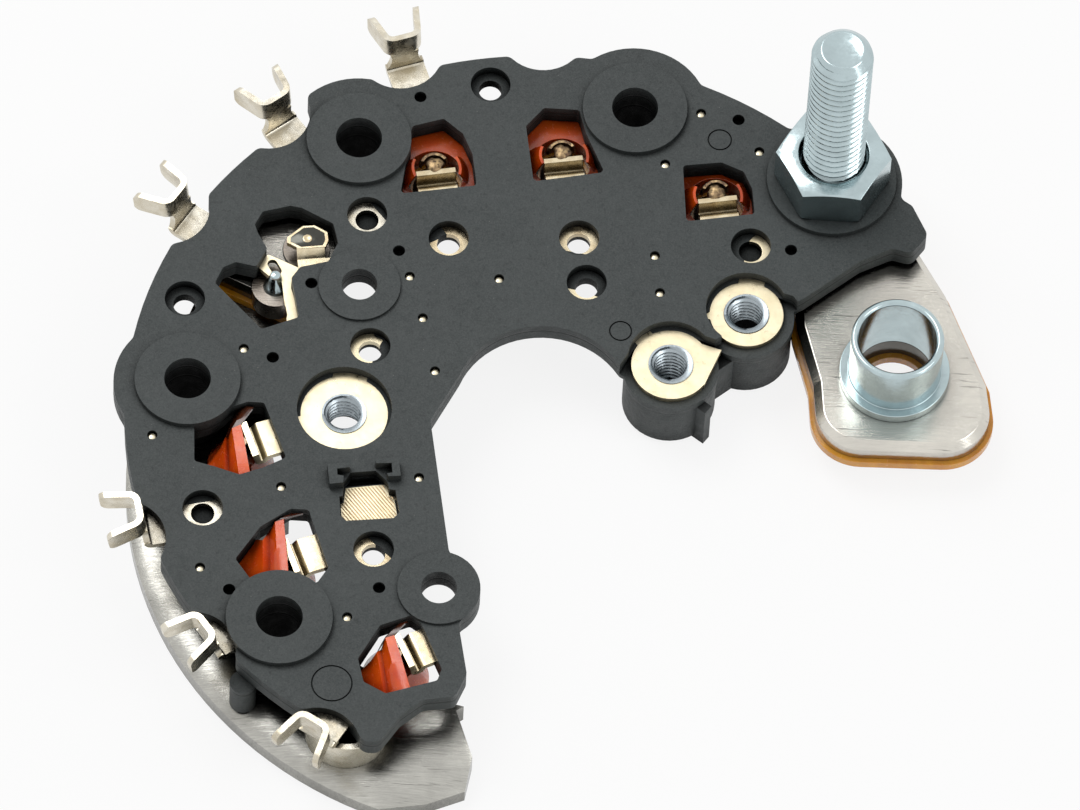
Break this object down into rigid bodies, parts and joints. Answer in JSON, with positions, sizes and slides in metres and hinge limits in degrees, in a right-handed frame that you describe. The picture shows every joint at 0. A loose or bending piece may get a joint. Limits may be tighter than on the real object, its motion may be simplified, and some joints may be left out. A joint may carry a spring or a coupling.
{
  "type": "alternator rectifier",
  "caption": "C-shaped rectifier of a vehicle alternator: terminal board with stator forks and bus bars on stacked heat sinks, press-fit diodes, output stud and spacer bush.",
  "frame": {"origin": "on the alternator's shaft axis, in the underside of the lower heat sink", "axes": "+Z along the output stud and away from the alternator's housing, +Y towards the terminal board's closed side, +X towards the lobe with the output stud"},
  "size_m": [0.1139, 0.113, 0.044],
  "materials": {
    "board": "matte charcoal moulding compound",
    "tin_plate": "tin-plated copper alloy",
    "bus_bar": "tin-plated copper strip",
    "steel": "plain steel",
    "diode": "plated copper",
    "compound": "sealing compound",
    "aluminium": "brushed with fine scratches",
    "insulator": "glossy amber plastic",
    "zinc": "bright zinc plate"
  },
  "bodies": {
    "root": {"terminal_board": "board", "stator_terminal_1": "tin_plate", "stator_terminal_2": "tin_plate", "stator_terminal_3": "tin_plate", "stator_terminal_4": "tin_plate", "stator_terminal_5": "tin_plate", "stator_terminal_6": "tin_plate", "phase_bar_1": "bus_bar", "phase_bar_2": "bus_bar", "phase_bar_3": "bus_bar", "phase_bar_4": "bus_bar", "phase_bar_5": "bus_bar", "signal_bar": "bus_bar", "sense_bar": "bus_bar", "threaded_insert_1": "steel", "threaded_insert_2": "steel", "threaded_insert_3": "steel", "negative_diode_1": "diode", "negative_diode_2": "diode", "negative_diode_3": "diode", "negative_diode_4": "diode", "negative_diode_5": "diode", "negative_diode_6": "diode", "positive_diode_1": "diode", "positive_diode_2": "diode", "diode_seal_1": "compound", "diode_seal_2": "compound", "diode_seal_3": "compound", "diode_seal_4": "compound", "diode_seal_5": "compound", "diode_seal_6": "compound", "negative_heat_sink": "aluminium", "positive_heat_sink": "aluminium", "insulator": "insulator", "lead_collar_1": "insulator", "lead_collar_2": "insulator", "lead_collar_3": "insulator", "lead_collar_4": "insulator", "lead_collar_5": "insulator", "lead_collar_6": "insulator", "b_plus_stud": "zinc", "b_plus_nut": "zinc", "spacer_bush": "tin_plate", "support_ring": "tin_plate"}
  },
  "joints": []
}
